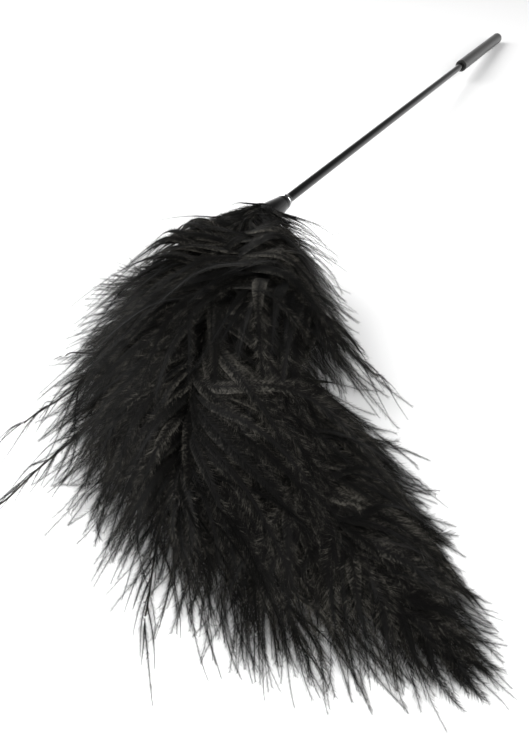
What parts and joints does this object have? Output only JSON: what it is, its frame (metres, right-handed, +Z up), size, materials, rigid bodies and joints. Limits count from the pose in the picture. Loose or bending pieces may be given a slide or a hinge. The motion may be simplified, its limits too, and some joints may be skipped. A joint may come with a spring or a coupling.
{
  "type": "feather duster",
  "caption": "Long-handled duster with a fanned head of drooping black plumes on a slim gloss rod with a cylindrical grip; the head screws off.",
  "frame": {"origin": "centre of the underside of the whole duster's box, on the surface that it lies on", "axes": "+X along the handle in plan, from the feathers towards the grip; +Z up; the fan of feathers bends towards -Y"},
  "size_m": [0.8046, 0.2944, 0.0687],
  "materials": {
    "plume": "satin",
    "down": "satin",
    "quill": "satin",
    "rod_black": "gloss",
    "black_plastic": "gloss",
    "grip": "satin",
    "bush_rubber": "matte",
    "bright_ring": "polished",
    "steel": "satin",
    "brass": "satin",
    "resin": "satin",
    "core_wood": "matte"
  },
  "bodies": {
    "head": {"binding_band": "steel", "down_collar": "down", "ferrule": "black_plastic", "glue_plug": "resin", "plume_1_left_vane": "plume", "plume_1_right_vane": "plume", "plume_1_shaft": "quill", "plume_2_left_vane": "plume", "plume_2_right_vane": "plume", "plume_2_shaft": "quill", "plume_3_left_vane": "plume", "plume_3_right_vane": "plume", "plume_3_shaft": "quill", "plume_4_left_vane": "plume", "plume_4_right_vane": "plume", "plume_4_shaft": "quill", "plume_5_left_vane": "plume", "plume_5_right_vane": "plume", "plume_5_shaft": "quill", "plume_6_left_vane": "plume", "plume_6_right_vane": "plume", "plume_6_shaft": "quill", "plume_7_left_vane": "plume", "plume_7_right_vane": "plume", "plume_7_shaft": "quill", "plume_8_left_vane": "plume", "plume_8_right_vane": "plume", "plume_8_shaft": "quill", "plume_9_left_vane": "plume", "plume_9_right_vane": "plume", "plume_9_shaft": "quill", "quill_core": "core_wood", "thread_insert": "brass"},
    "ring": {"trim_ring": "bright_ring"},
    "handle": {"handle_rod": "rod_black", "rod_collar": "black_plastic", "threaded_stud": "steel", "grip_sleeve": "grip", "grip_front_bush": "bush_rubber", "grip_rear_bush": "bush_rubber", "grip_end_cap": "grip"}
  },
  "joints": [
    {"name": "ring_travel", "type": "slide", "parent": "head", "child": "ring", "axis": [0.9967, 0, -0.0807], "range_m": [0, 0.009]},
    {"name": "handle_unscrew", "type": "hinge", "parent": "ring", "child": "handle", "pos_m": [-0.12726, 0.06277, 0.04854], "axis": [0.9967, 0, -0.0807], "range_deg": [0, 2160]}
  ],
  "couplings": [
    {"joint": "handle_unscrew", "follows": "ring_travel", "rad_per_m": 4188.8}
  ]
}
